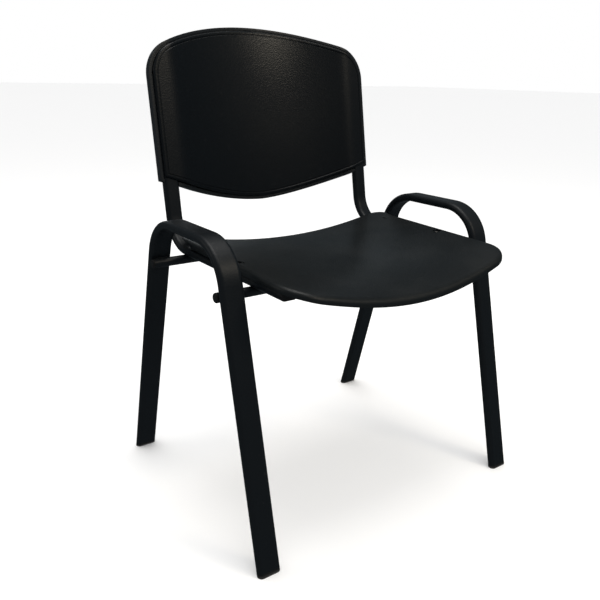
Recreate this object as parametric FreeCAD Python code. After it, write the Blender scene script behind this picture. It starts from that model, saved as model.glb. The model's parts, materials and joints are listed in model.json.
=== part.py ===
"""Stacking visitor chair: two inverted-U leg hoops, cross rails, L-shaped back frame, moulded shells.

Units are millimetres. +Z is up, the sitter faces -Y, the floor is Z = 0 and the chair is
symmetric about X = 0. Every separate physical piece is written as its own STEP node.
"""
import FreeCAD, Part
import math
import os

V = FreeCAD.Vector
X_AXIS = V(1, 0, 0)
Y_AXIS = V(0, 1, 0)
Z_AXIS = V(0, 0, 1)

# ---- overall sizes -------------------------------------------------------------------------
HEIGHT = 820.0                  # floor to the crown of the backrest
TRACK = 546.0                   # between the centre lines of the two leg hoops
HOOP_TOP = 505.0                # floor to the top of the leg hoops
FRONT_FOOT_Y = -205.5           # leg centre line at the floor, front
REAR_FOOT_Y = 262.5             # leg centre line at the floor, rear
HOOP_FRONT_Y = -85.5            # where the front leg line meets the top bar line
HOOP_REAR_Y = 129.0             # where the rear leg line meets the top bar line

# ---- tubes ---------------------------------------------------------------------------------
LEG_WIDE = 40.0
LEG_THIN = 15.0
LEG_BEND = 74.0                 # centre-line bend radius of the hoops
RAIL_DIAMETER = 16.0
FRAME_WIDE = 30.0
FRAME_THIN = 15.0
FRAME_BEND = 62.0
TUBE_WALL = 1.5
RAIL_AXIS_Z = 420.5

# ---- back frame ----------------------------------------------------------------------------
HOOP_GAP = 17.0                 # between a hoop and the run beside it
FRAME_FRONT_Y = -174.0          # front end of the horizontal run
RAKE = 9.65                     # degrees the uprights lean back
UPRIGHT_HEEL_Y = 182.5          # where the upright line meets the horizontal run
UPRIGHT_TOP_GAP = 92.0          # tube end below the crown of the backrest

# ---- fits ----------------------------------------------------------------------------------
PLUG_CLEARANCE = 0.2            # round a plug spigot, each side
PLUG_DEPTH = 22.0
PLUG_HEAD = 4.0
GLIDE_HEIGHT = 7.0
GLIDE_SPIGOT = 28.0
WELD_REACH = 5.0                # half width of a weld fillet along the tube it holds
SLEEVE_CLEARANCE = 0.8          # round an upright, where the two shells are cut for it
RIM_RELIEF = 0.4                # between a seat run and the seat's rim, where they pass

# ---- seat ----------------------------------------------------------------------------------
SEAT_GAP = 15.0                 # between the seat's edge and a hoop
SEAT_FRONT_Y = -228.0
SEAT_REAR_Y = 150.0
SEAT_FRONT_RADIUS = 1400.0      # gentle bow of the front edge
SEAT_FRONT_CORNER = 58.0
SEAT_REAR_CORNER = 30.0
SEAT_THICKNESS = 3.5
SEAT_RIM = 3.0                  # wall of the turned-down rim
SEAT_RIM_DROP = 11.5
SEAT_RIM_END_Y = 95.0           # the rim stops short of the rear edge, clear of the uprights
SEAT_CENTRE_RISE = -10.5        # underside above the seat runs: on the centre line
SEAT_SIDE_FRONT_RISE = 6.0      # at the front of the side edges
SEAT_SIDE_REAR_RISE = 15.0      # at the rear of the side edges
SEAT_WATERFALL = 23.5           # drop of the centre line at the front edge
SEAT_REAR_DROP = 3.5            # drop of the centre line at the rear edge
SEAT_CREST_Y = -60.0            # where the waterfall starts

# ---- backrest ------------------------------------------------------------------------------
BACK_OVERHANG = 5.0             # rear tray beyond the outer faces of the uprights
BACK_SIDE_Z = 549.5             # lower side corners above the floor
BACK_CROWN_RADIUS = 509.0
BACK_CORNER_RADIUS = 65.0
BACK_BELLY = 50.5               # how far the lower edge hangs below the side corners
BACK_BELLY_POWER = 1.6
BACK_SAG = 54.0                 # how far the middle sits behind the sides
BACK_BLEND = 40.0               # radius easing the flat sides into the hollow middle
PANEL_INSET = 7.0               # front panel edge inside the tray's outline
PANEL_WALL = 3.0
PANEL_SKIRT_WALL = 1.8          # the panel's edge turns back into the tray
PANEL_SKIRT_DEPTH = 6.5
TRAY_WALL = 3.0
TRAY_SIDE_WALL = 5.0            # all round, up to the rim
TRAY_RIM_DEPTH = 5.0            # the tray's rim lies this far behind the panel's face
TRAY_LEDGE = 9.5                # reach of the ledge the panel's skirt stands on
TRAY_LEDGE_THICK = 2.5
PANEL_GAP = 0.5                 # between the panel's back and an upright
TRAY_GAP = 1.5                  # between an upright and the tray's rear wall
GROOVE_INSET = 13.5             # inside the tray's outline
GROOVE_WIDTH = 1.6
GROOVE_DEPTH = 0.9

# ---- fasteners -----------------------------------------------------------------------------
SCREW_DIAMETER = 6.0
SCREW_HOLE = 6.4
SCREW_HEAD = 11.0
SCREW_HEAD_HEIGHT = 3.2
SCREW_DRIVE = 5.0
RECESS_DIAMETER = 15.0
RECESS_DEPTH = 3.6
BOSS_DIAMETER = 20.0
SEAT_SCREW_Y = -41.0
SEAT_BOLT_Y = 100.0
BACK_SCREW_HEIGHT = 40.0        # above the lower side corners of the backrest
BACK_SCREW_DIAMETER = 5.0
BACK_SCREW_HOLE = 5.3
BACK_SCREW_HEAD = 9.0
BACK_SCREW_HEAD_HEIGHT = 2.6
SCREW_PAD = 1.6                 # plastic left under a backrest screw head

# ---- derived places ------------------------------------------------------------------------
LEG_X = TRACK / 2
HOOP_INSIDE_X = LEG_X - LEG_WIDE / 2
FRAME_HALF_TRACK = HOOP_INSIDE_X - HOOP_GAP - FRAME_WIDE / 2
HOOP_AXIS_Z = HOOP_TOP - LEG_THIN / 2
RAIL_RADIUS = RAIL_DIAMETER / 2
RAIL_TOP_Z = RAIL_AXIS_Z + RAIL_RADIUS
FRAME_AXIS_Z = RAIL_TOP_Z + FRAME_THIN / 2
FRAME_TOP_Z = RAIL_TOP_Z + FRAME_THIN
RAIL_END_X = LEG_X + LEG_WIDE / 2 - 3.0
TAN_RAKE = math.tan(math.radians(RAKE))
SEAT_HALF_WIDTH = HOOP_INSIDE_X - SEAT_GAP
SEAT_CENTRE_Z = FRAME_TOP_Z + SEAT_THICKNESS + SEAT_CENTRE_RISE
SEAT_SIDE_FRONT_Z = FRAME_TOP_Z + SEAT_THICKNESS + SEAT_SIDE_FRONT_RISE
SEAT_SIDE_REAR_Z = FRAME_TOP_Z + SEAT_THICKNESS + SEAT_SIDE_REAR_RISE
BACK_HALF_WIDTH = FRAME_HALF_TRACK + FRAME_WIDE / 2 + BACK_OVERHANG
BACK_FLAT_X = FRAME_HALF_TRACK - FRAME_WIDE / 2     # the panel is flat from here outwards
BACK_DEPTH = PANEL_WALL + PANEL_GAP + FRAME_THIN + TRAY_GAP + TRAY_WALL
BACK_FRONT = -(FRAME_THIN / 2 + PANEL_GAP + PANEL_WALL)
BACK_RADIUS = (BACK_FLAT_X ** 2 + BACK_SAG ** 2) / (2 * BACK_SAG) - BACK_BLEND


def upright_y(z):
    """Y of the upright centre line at height z."""
    return UPRIGHT_HEEL_Y + (z - FRAME_AXIS_Z) * TAN_RAKE


def mirrored(shape):
    """The same shape on the other side of the chair."""
    return shape.mirror(V(0, 0, 0), X_AXIS)


def both_sides(name, shape, parts):
    """Store a piece modelled at +X as the right node and its mirror image as the left node."""
    parts[name + "_right"] = shape
    parts[name + "_left"] = mirrored(shape)


def across(point):
    """The same point on the other side of the chair."""
    return V(-point.x, point.y, point.z)


def crowned_edge(half_width, height, radius, corner, up):
    """Arched edge from the right side to the left, with round corners, in the X-up plane.

    The arch stands `height` above the origin on the centre line; both corner arcs are tangent
    to it and to the straight sides at +-half_width.
    """
    hub = height - radius
    corner_x = half_width - corner
    corner_up = hub + math.sqrt((radius - corner) ** 2 - corner_x ** 2)
    toward = math.atan2(corner_x, corner_up - hub)
    halfway = (toward + math.pi / 2) / 2
    side = X_AXIS * half_width + up * corner_up
    bend = X_AXIS * (corner_x + corner * math.sin(halfway))
    bend = bend + up * (corner_up + corner * math.cos(halfway))
    shoulder = X_AXIS * (radius * math.sin(toward)) + up * (hub + radius * math.cos(toward))
    return [
        Part.Arc(side, bend, shoulder).toShape(),
        Part.Arc(shoulder, up * height, across(shoulder)).toShape(),
        Part.Arc(across(shoulder), across(bend), across(side)).toShape(),
    ]


# ---- tube helpers --------------------------------------------------------------------------
def flat_oval(centre, wide_dir, wide, thin, normal):
    """Closed flat-oval outline: `wide` along wide_dir, `thin` square to it in the same plane."""
    thin_dir = normal.cross(wide_dir)
    radius = thin / 2
    reach = (wide - thin) / 2

    def at(along, across):
        return centre + wide_dir * along + thin_dir * across

    return Part.Wire([
        Part.makeLine(at(-reach, -radius), at(reach, -radius)),
        Part.Arc(at(reach, -radius), at(reach + radius, 0), at(reach, radius)).toShape(),
        Part.makeLine(at(reach, radius), at(-reach, radius)),
        Part.Arc(at(-reach, radius), at(-reach - radius, 0), at(-reach, -radius)).toShape(),
    ])


def bent_path(corners, radius):
    """Straight runs through the corners, joined by tangent arcs of the given radius."""
    edges = []
    start = corners[0]
    for before, corner, after in zip(corners, corners[1:], corners[2:]):
        back = (before - corner).normalize()
        ahead = (after - corner).normalize()
        half = back.getAngle(ahead) / 2
        leg = radius / math.tan(half)
        middle = (back + ahead).normalize()
        bisector = corner + middle * (radius / math.sin(half) - radius)
        edges.append(Part.makeLine(start, corner + back * leg))
        edges.append(Part.Arc(corner + back * leg, bisector, corner + ahead * leg).toShape())
        start = corner + ahead * leg
    edges.append(Part.makeLine(start, corners[-1]))
    return Part.Wire(edges)


def swept_oval(corners, bend, wide, thin):
    """Solid flat-oval bar along a bent path, wide across X."""
    normal = (corners[1] - corners[0]).normalize()
    outline = flat_oval(corners[0], X_AXIS, wide, thin, normal)
    return bent_path(corners, bend).makePipeShell([outline], True, False)


def hollow_oval(corners, bend, wide, thin):
    """Flat-oval tube with open ends."""
    bore = swept_oval(corners, bend, wide - 2 * TUBE_WALL, thin - 2 * TUBE_WALL)
    return swept_oval(corners, bend, wide, thin).cut(bore)


def straight_oval(start, end, wide, thin):
    """Straight flat-oval bar from start to end, wide across X."""
    along = end - start
    normal = V(along).normalize()
    return Part.Face(flat_oval(start, X_AXIS, wide, thin, normal)).extrude(along)


def slab(z_low, z_high):
    """Very wide horizontal layer used to trim pieces level."""
    reach = 2 * HEIGHT
    return Part.makeBox(2 * reach, 2 * reach, z_high - z_low, V(-reach, -reach, z_low))


def x_cylinder(radius, x_low, x_high, y, z):
    return Part.makeCylinder(radius, x_high - x_low, V(x_low, y, z), X_AXIS)


# ---- leg hoops and glides ------------------------------------------------------------------
def leg_corners(below):
    """Hoop centre line at +X, with both legs carried on to the given depth below the floor."""
    top_front = V(LEG_X, HOOP_FRONT_Y, HOOP_AXIS_Z)
    top_rear = V(LEG_X, HOOP_REAR_Y, HOOP_AXIS_Z)
    front_slope = (HOOP_FRONT_Y - FRONT_FOOT_Y) / HOOP_AXIS_Z
    rear_slope = (REAR_FOOT_Y - HOOP_REAR_Y) / HOOP_AXIS_Z
    front_foot = V(LEG_X, FRONT_FOOT_Y - below * front_slope, -below)
    rear_foot = V(LEG_X, REAR_FOOT_Y + below * rear_slope, -below)
    return [front_foot, top_front, top_rear, rear_foot]


def leg_hoop():
    tube = hollow_oval(leg_corners(LEG_WIDE), LEG_BEND, LEG_WIDE, LEG_THIN)
    return tube.common(slab(GLIDE_HEIGHT, HEIGHT))


def foot_glide(foot, knee):
    """Plug flush with the tube: a pad under the tube end and a spigot inside it."""
    pad = straight_oval(foot, knee, LEG_WIDE, LEG_THIN).common(slab(0, GLIDE_HEIGHT))
    play = 2 * (TUBE_WALL + PLUG_CLEARANCE)
    spigot = straight_oval(foot, knee, LEG_WIDE - play, LEG_THIN - play)
    return pad.fuse(spigot.common(slab(GLIDE_HEIGHT, GLIDE_HEIGHT + GLIDE_SPIGOT))).removeSplitter()


# ---- cross rails ---------------------------------------------------------------------------
def rail_y(foot_y, top_y, side):
    """Y of a cross rail lying against a leg face; side is +1 behind the leg, -1 in front of it."""
    slope = (top_y - foot_y) / HOOP_AXIS_Z
    cosine = 1 / math.hypot(1, slope)
    stand_off = LEG_THIN / 2 + RAIL_RADIUS
    contact_z = RAIL_AXIS_Z + side * slope * cosine * stand_off
    return foot_y + slope * contact_z + side * cosine * stand_off


def weld(axis_y, toward, x_centre, length):
    """Pair of fillet beads between a cross rail and the flat face it touches in a direction."""
    depth = RAIL_RADIUS - math.sqrt(RAIL_RADIUS ** 2 - WELD_REACH ** 2)
    bead = Part.makeBox(length, 2 * WELD_REACH, depth)
    bead.translate(V(-length / 2, -WELD_REACH, RAIL_RADIUS - depth))
    bead.rotate(V(0, 0, 0), X_AXIS, toward)
    bead.translate(V(x_centre, axis_y, RAIL_AXIS_Z))
    return bead


def cross_rail(axis_y, leg_direction):
    """Round tube welded to both legs and, on its top, to both runs of the back frame."""
    outer = x_cylinder(RAIL_RADIUS, -RAIL_END_X, RAIL_END_X, axis_y, RAIL_AXIS_Z)
    rail = outer
    for side in (-1, 1):
        rail = rail.fuse(weld(axis_y, leg_direction, side * LEG_X, LEG_WIDE - LEG_THIN))
        rail = rail.fuse(weld(axis_y, 0, side * FRAME_HALF_TRACK, FRAME_WIDE - FRAME_THIN))
    bore = x_cylinder(RAIL_RADIUS - TUBE_WALL, -RAIL_END_X, RAIL_END_X, axis_y, RAIL_AXIS_Z)
    return rail.cut(bore).removeSplitter()


def rail_plug(axis_y):
    """Domed plug in the right-hand end of a cross rail."""
    inside = RAIL_RADIUS - TUBE_WALL - PLUG_CLEARANCE
    spigot = x_cylinder(inside, RAIL_END_X - PLUG_DEPTH, RAIL_END_X, axis_y, RAIL_AXIS_Z)
    head = x_cylinder(RAIL_RADIUS, RAIL_END_X, RAIL_END_X + PLUG_HEAD, axis_y, RAIL_AXIS_Z)
    rim = [edge for edge in head.Edges if edge.CenterOfMass.x > RAIL_END_X + PLUG_HEAD - 0.1]
    return head.makeFillet(PLUG_HEAD * 0.8, rim[:1]).fuse(spigot).removeSplitter()


# ---- back frame ----------------------------------------------------------------------------
def frame_corners():
    top_z = HEIGHT - UPRIGHT_TOP_GAP
    return [
        V(FRAME_HALF_TRACK, FRAME_FRONT_Y, FRAME_AXIS_Z),
        V(FRAME_HALF_TRACK, UPRIGHT_HEEL_Y, FRAME_AXIS_Z),
        V(FRAME_HALF_TRACK, upright_y(top_z), top_z),
    ]


def back_frame():
    """L-shaped tube: seat run, bend, upright; drilled for the seat and backrest screws."""
    tube = hollow_oval(frame_corners(), FRAME_BEND, FRAME_WIDE, FRAME_THIN)
    tube = tube.cut(z_hole(SCREW_HOLE, SEAT_SCREW_Y, FRAME_AXIS_Z, FRAME_TOP_Z + 1))
    tube = tube.cut(z_hole(SCREW_HOLE, SEAT_BOLT_Y, RAIL_TOP_Z - 1, FRAME_TOP_Z + 1))
    rear_hole = Part.makeCylinder(BACK_SCREW_HOLE / 2, FRAME_THIN, V(0, 0, 0), Y_AXIS)
    rear_hole.translate(V(FRAME_HALF_TRACK, 0, BACK_SCREW_HEIGHT))
    return tube.cut(in_back_frame(rear_hole))


def z_hole(diameter, y, z_low, z_high):
    """Upright cylinder through the centre line of the right-hand run."""
    return Part.makeCylinder(diameter / 2, z_high - z_low, V(FRAME_HALF_TRACK, y, z_low), Z_AXIS)


def oval_plug(end, inward, head):
    """Plug for a flat-oval tube end, with a head the size of the tube."""
    play = 2 * (TUBE_WALL + PLUG_CLEARANCE)
    spigot = straight_oval(end, end + inward * PLUG_DEPTH, FRAME_WIDE - play, FRAME_THIN - play)
    cap = straight_oval(end, end - inward * head, FRAME_WIDE, FRAME_THIN)
    outer = [edge for edge in cap.Edges if (edge.CenterOfMass - end).dot(inward) < 0.1 - head]
    return cap.makeFillet(head * 0.6, outer).fuse(spigot).removeSplitter()


# ---- seat ----------------------------------------------------------------------------------
def seat_z(x, y):
    """Height of the seat's upper surface: dished across, falling away at the front edge."""
    if y < SEAT_CREST_Y:
        share = (SEAT_CREST_Y - y) / (SEAT_CREST_Y - SEAT_FRONT_Y)
        centre = SEAT_CENTRE_Z - SEAT_WATERFALL * share ** 3
    else:
        share = (y - SEAT_CREST_Y) / (SEAT_REAR_Y - SEAT_CREST_Y)
        centre = SEAT_CENTRE_Z - SEAT_REAR_DROP * share ** 2
    side_front_y = SEAT_FRONT_Y + SEAT_FRONT_CORNER
    along = (y - side_front_y) / (SEAT_REAR_Y - side_front_y)
    side = SEAT_SIDE_FRONT_Z + (SEAT_SIDE_REAR_Z - SEAT_SIDE_FRONT_Z) * along
    return centre + (side - centre) * (x / SEAT_HALF_WIDTH) ** 2


def seat_layer(depth):
    """Everything within `depth` below the seat's upper surface, wider than the seat."""
    margin = 20.0
    columns = 13
    rows = 17
    x_step = 2 * (SEAT_HALF_WIDTH + margin) / (columns - 1)
    y_step = (SEAT_REAR_Y - SEAT_FRONT_Y + 2 * margin) / (rows - 1)
    grid = []
    for column in range(columns):
        x = -SEAT_HALF_WIDTH - margin + column * x_step
        ys = [SEAT_FRONT_Y - margin + row * y_step for row in range(rows)]
        grid.append([V(x, y, seat_z(x, y)) for y in ys])
    surface = Part.BSplineSurface()
    surface.interpolate(grid)
    return surface.toShape().extrude(V(0, 0, -depth))


def seat_outline(inset):
    """Plan outline: bowed front edge, straight sides, rounded rear corners."""
    half = SEAT_HALF_WIDTH - inset
    corner = SEAT_REAR_CORNER - inset
    rear = SEAT_REAR_Y - inset
    bulge = corner * (1 - math.sqrt(0.5))
    front = crowned_edge(half, -SEAT_FRONT_Y - inset, SEAT_FRONT_RADIUS - inset,
                         SEAT_FRONT_CORNER - inset, V(0, -1, 0))
    side_end = front[0].Vertexes[0].Point
    right = V(half, rear - corner, 0)
    left = across(right)
    return Part.Wire(front + [
        Part.makeLine(across(side_end), left),
        Part.Arc(left, V(bulge - half, rear - bulge, 0), V(corner - half, rear, 0)).toShape(),
        Part.makeLine(V(corner - half, rear, 0), V(half - corner, rear, 0)),
        Part.Arc(V(half - corner, rear, 0), V(half - bulge, rear - bulge, 0), right).toShape(),
        Part.makeLine(right, side_end),
    ])


def seat_prism(inset):
    return Part.Face(seat_outline(inset)).extrude(V(0, 0, HEIGHT))


def seat_boss(y):
    """Moulded post from the seat's underside down to the top of the right-hand rail."""
    post = z_hole(BOSS_DIAMETER, y, FRAME_TOP_Z, HEIGHT)
    return post.common(seat_layer(SEAT_SIDE_REAR_Z - FRAME_TOP_Z + SEAT_RIM_DROP))


def recess_floor():
    """Height on which the head of a seat screw sits."""
    return seat_z(FRAME_HALF_TRACK, SEAT_SCREW_Y) - RECESS_DEPTH


def rim_relief():
    """Room for the front of the right-hand run where it passes inside the rim."""
    play = 2 * RIM_RELIEF
    front_y = FRAME_FRONT_Y - PLUG_HEAD - RIM_RELIEF
    start = V(FRAME_HALF_TRACK, front_y, FRAME_AXIS_Z)
    end = V(FRAME_HALF_TRACK, SEAT_CREST_Y, FRAME_AXIS_Z)
    return straight_oval(start, end, FRAME_WIDE + play, FRAME_THIN + play)


def seat_shell():
    plate = seat_prism(0).common(seat_layer(SEAT_THICKNESS))
    reach = 2 * HEIGHT
    front = Part.makeBox(reach, reach, reach, V(-HEIGHT, SEAT_RIM_END_Y - reach, -HEIGHT))
    rim = seat_prism(0).cut(seat_prism(SEAT_RIM)).common(front)
    shell = plate.fuse(rim.common(seat_layer(SEAT_RIM_DROP)))
    bolt_end = seat_bolt_end()
    tools = [
        rim_relief(),
        z_hole(RECESS_DIAMETER, SEAT_SCREW_Y, recess_floor(), HEIGHT),
        z_hole(SCREW_HOLE, SEAT_SCREW_Y, FRAME_TOP_Z, HEIGHT),
        z_hole(SCREW_HOLE, SEAT_BOLT_Y, FRAME_TOP_Z, bolt_end),
    ]
    for y in (SEAT_SCREW_Y, SEAT_BOLT_Y):
        boss = seat_boss(y)
        shell = shell.fuse([boss, mirrored(boss)])
    return shell.cut(tools + [mirrored(tool) for tool in tools]).removeSplitter()


def seat_bolt_end():
    """Top of the blind hole that takes a seat bolt."""
    return seat_z(FRAME_HALF_TRACK, SEAT_BOLT_Y) - SEAT_THICKNESS


def seat_screw():
    """Pan-head screw standing in its recess and biting into the top wall of the rail."""
    seat = recess_floor()
    shank = z_hole(SCREW_DIAMETER, SEAT_SCREW_Y, FRAME_AXIS_Z - 2, seat)
    head = z_hole(SCREW_HEAD, SEAT_SCREW_Y, seat, seat + SCREW_HEAD_HEIGHT)
    crown = [edge for edge in head.Edges if edge.CenterOfMass.z > seat + SCREW_HEAD_HEIGHT - 0.1]
    head = head.makeFillet(SCREW_HEAD_HEIGHT * 0.5, crown[:1])
    drive = z_hole(SCREW_DRIVE, SEAT_SCREW_Y, seat + SCREW_HEAD_HEIGHT / 2, HEIGHT)
    return head.cut(drive).fuse(shank).removeSplitter()


def seat_bolt():
    """Bolt from below, right through the rail and up into a seat boss."""
    shank = z_hole(SCREW_DIAMETER, SEAT_BOLT_Y, RAIL_TOP_Z, seat_bolt_end() - 1)
    head = z_hole(SCREW_HEAD, SEAT_BOLT_Y, RAIL_TOP_Z - SCREW_HEAD_HEIGHT, RAIL_TOP_Z)
    drive = z_hole(SCREW_DRIVE, SEAT_BOLT_Y, 0, RAIL_TOP_Z - SCREW_HEAD_HEIGHT / 2)
    return head.cut(drive).fuse(shank).removeSplitter()


# ---- backrest ------------------------------------------------------------------------------
# Modelled upright about the tube centre line, then leaned back by in_back_frame.
def back_crown():
    """Height of the crown above the lower side corners, along the leaning back."""
    cosine = math.cos(math.radians(RAKE))
    sine = math.sin(math.radians(RAKE))
    return (HEIGHT - BACK_SIDE_Z + (BACK_SAG + BACK_FRONT + TRAY_RIM_DEPTH) * sine) / cosine


def in_back_frame(shape):
    """Lean a shape from the backrest's own upright frame into its place on the chair."""
    placed = shape.copy()
    placed.rotate(V(0, 0, 0), X_AXIS, -RAKE)
    placed.translate(V(0, upright_y(BACK_SIDE_Z), BACK_SIDE_Z))
    return placed


def back_outline(inset):
    """Front view of the backrest: arched crown, round shoulders, hanging lower edge."""
    half = BACK_HALF_WIDTH - inset
    crown = crowned_edge(half, back_crown() - inset, BACK_CROWN_RADIUS - inset,
                         BACK_CORNER_RADIUS - inset, Z_AXIS)
    belly = []
    for step in range(-6, 7):
        share = step / 6
        drop = BACK_BELLY * (1 - abs(share) ** BACK_BELLY_POWER)
        belly.append(V(half * share, 0, inset - drop))
    lower = Part.BSplineCurve()
    lower.interpolate(belly)
    side_end = crown[0].Vertexes[0].Point
    return Part.Wire(crown + [
        Part.makeLine(across(side_end), belly[0]),
        lower.toShape(),
        Part.makeLine(belly[-1], side_end),
    ])


def back_prism(inset):
    """Backrest outline carried right through from front to rear."""
    reach = 4 * BACK_DEPTH + BACK_SAG
    prism = Part.Face(back_outline(inset)).extrude(V(0, 2 * reach, 0))
    prism.translate(V(0, -reach, 0))
    return prism


def back_curve(depth):
    """Plan section of the backrest at a depth behind its front face, from +X to -X."""
    reach = 2 * BACK_HALF_WIDTH
    turn = math.asin(BACK_FLAT_X / (BACK_RADIUS + BACK_BLEND))
    flat_y = BACK_FRONT + depth
    middle = V(0, BACK_FRONT + BACK_SAG - BACK_RADIUS, 0)
    join = middle + V(math.sin(turn), math.cos(turn), 0) * (BACK_RADIUS + depth)
    ease = V(BACK_FLAT_X, BACK_FRONT + BACK_BLEND, 0)
    ease = ease - V(math.sin(turn / 2), math.cos(turn / 2), 0) * (BACK_BLEND - depth)
    flat_end = V(BACK_FLAT_X, flat_y, 0)
    deepest = V(0, BACK_FRONT + BACK_SAG + depth, 0)
    return [
        Part.makeLine(V(reach, flat_y, 0), flat_end),
        Part.Arc(flat_end, ease, join).toShape(),
        Part.Arc(join, deepest, across(join)).toShape(),
        Part.Arc(across(join), across(ease), across(flat_end)).toShape(),
        Part.makeLine(across(flat_end), V(-reach, flat_y, 0)),
    ]


def back_layer(near, far):
    """Curved layer between two depths behind the front face."""
    reach = 2 * BACK_HALF_WIDTH
    ends = []
    for x in (reach, -reach):
        ends.append(Part.makeLine(V(x, BACK_FRONT + near, 0), V(x, BACK_FRONT + far, 0)))
    edges = Part.sortEdges(back_curve(near) + back_curve(far) + ends)[0]
    layer = Part.Face(Part.Wire(edges)).extrude(V(0, 0, 2 * HEIGHT))
    layer.translate(V(0, 0, -HEIGHT))
    return layer


def sleeve():
    """Passage for the right-hand upright, from below the lower edge to over its top plug."""
    play = 2 * SLEEVE_CLEARANCE
    tube_end = (HEIGHT - UPRIGHT_TOP_GAP - BACK_SIDE_Z) / math.cos(math.radians(RAKE))
    start = V(FRAME_HALF_TRACK, 0, -2 * BACK_BELLY)
    end = V(FRAME_HALF_TRACK, 0, tube_end + PLUG_HEAD + SLEEVE_CLEARANCE)
    return straight_oval(start, end, FRAME_WIDE + play, FRAME_THIN + play)


def back_ring(outer, inner, near, far):
    """Band between two insets of the outline and two depths behind the front face."""
    return back_prism(outer).cut(back_prism(inner)).common(back_layer(near, far))


def back_front_shell():
    """Curved front panel: a shallow groove inside its edge, and a skirt turned back all round."""
    plate = back_prism(PANEL_INSET).common(back_layer(0, PANEL_WALL))
    skirt = back_ring(PANEL_INSET, PANEL_INSET + PANEL_SKIRT_WALL, PANEL_WALL, PANEL_SKIRT_DEPTH)
    panel = plate.fuse(skirt.cut([sleeve(), mirrored(sleeve())])).removeSplitter()
    return in_back_frame(panel.cut(
        back_ring(GROOVE_INSET, GROOVE_INSET + GROOVE_WIDTH, -1, GROOVE_DEPTH)))


def back_rear_shell():
    """Tray behind the front panel: rear wall, side walls, a ledge and the screw pads."""
    rear_wall = back_prism(0).common(back_layer(BACK_DEPTH - TRAY_WALL, BACK_DEPTH))
    side_wall = back_ring(0, TRAY_SIDE_WALL, TRAY_RIM_DEPTH, BACK_DEPTH)
    ledge_end = PANEL_SKIRT_DEPTH + TRAY_LEDGE_THICK
    ledge = back_ring(0, TRAY_LEDGE, PANEL_SKIRT_DEPTH, ledge_end)
    tray = rear_wall.fuse([side_wall, ledge]).cut([sleeve(), mirrored(sleeve())])
    pad = back_screw_cylinder(BOSS_DIAMETER, FRAME_THIN / 2, BACK_FRONT + BACK_DEPTH)
    tray = tray.fuse([pad, mirrored(pad)])
    tools = [
        back_screw_cylinder(BACK_SCREW_HOLE, 0, 2 * BACK_DEPTH),
        back_screw_cylinder(RECESS_DIAMETER, back_screw_seat(), 2 * BACK_DEPTH),
    ]
    return in_back_frame(tray.cut(tools + [mirrored(tool) for tool in tools]).removeSplitter())


def back_screw_cylinder(diameter, y_low, y_high):
    """Cylinder along the axis of the right-hand backrest screw."""
    centre = V(FRAME_HALF_TRACK, y_low, BACK_SCREW_HEIGHT)
    return Part.makeCylinder(diameter / 2, y_high - y_low, centre, Y_AXIS)


def back_screw_seat():
    """Depth behind the tube axis at which the screw head bears on the rear shell."""
    return FRAME_THIN / 2 + SCREW_PAD


def back_screw():
    """Pan-head screw through the rear shell into the rear wall of the upright."""
    seat = back_screw_seat()
    head = back_screw_cylinder(BACK_SCREW_HEAD, seat, seat + BACK_SCREW_HEAD_HEIGHT)
    shank = back_screw_cylinder(BACK_SCREW_DIAMETER, 1.0, seat)
    socket = seat + BACK_SCREW_HEAD_HEIGHT / 2
    drive = back_screw_cylinder(SCREW_DRIVE * 0.8, socket, 2 * BACK_DEPTH)
    return in_back_frame(head.cut(drive).fuse(shank).removeSplitter())


# ---- assembly ------------------------------------------------------------------------------
def build():
    parts = {}
    front_foot, front_knee, rear_knee, rear_foot = leg_corners(LEG_WIDE)
    both_sides("leg_hoop", leg_hoop(), parts)
    both_sides("foot_glide_front", foot_glide(front_foot, front_knee), parts)
    both_sides("foot_glide_rear", foot_glide(rear_foot, rear_knee), parts)

    front_y = rail_y(FRONT_FOOT_Y, HOOP_FRONT_Y, 1)
    rear_y = rail_y(REAR_FOOT_Y, HOOP_REAR_Y, -1)
    front_lean = math.degrees(math.atan2(HOOP_FRONT_Y - FRONT_FOOT_Y, HOOP_AXIS_Z))
    rear_lean = math.degrees(math.atan2(REAR_FOOT_Y - HOOP_REAR_Y, HOOP_AXIS_Z))
    parts["cross_rail_front"] = cross_rail(front_y, 90 - front_lean)
    parts["cross_rail_rear"] = cross_rail(rear_y, rear_lean - 90)
    both_sides("rail_plug_front", rail_plug(front_y), parts)
    both_sides("rail_plug_rear", rail_plug(rear_y), parts)

    tube_front, heel, tube_top = frame_corners()
    both_sides("back_frame", back_frame(), parts)
    both_sides("frame_plug_front", oval_plug(tube_front, Y_AXIS, PLUG_HEAD), parts)
    down = (heel - tube_top).normalize()
    both_sides("frame_plug_top", oval_plug(tube_top, down, PLUG_HEAD), parts)

    parts["seat_shell"] = seat_shell()
    parts["back_front_shell"] = back_front_shell()
    parts["back_rear_shell"] = back_rear_shell()

    for name, piece in (("seat_screws", seat_screw()), ("seat_bolts", seat_bolt()),
                        ("back_screws", back_screw())):
        parts[name] = Part.makeCompound([piece, mirrored(piece)])
    return parts


def centred(parts):
    """Slide the chair along Y so that the origin is under the middle of its outside box."""
    rearmost = parts["back_rear_shell"].optimalBoundingBox(False).YMax
    slide = V(0, -(SEAT_FRONT_Y + rearmost) / 2, 0)
    for shape in parts.values():
        shape.translate(slide)
    return parts


os.makedirs("parts", exist_ok=True)
for node, shape in centred(build()).items():
    shape.exportStep("parts/" + node + ".step")
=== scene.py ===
# %% [markdown]
# # A stacking chair, one step at a time
# The chair has a tubular steel frame and three plastic mouldings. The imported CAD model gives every
# tube in its true place. It is loaded first, because nothing later may move away from it.

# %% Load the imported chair
import json
import math
import random

import bmesh
import bpy
from mathutils import Matrix, Vector


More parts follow.
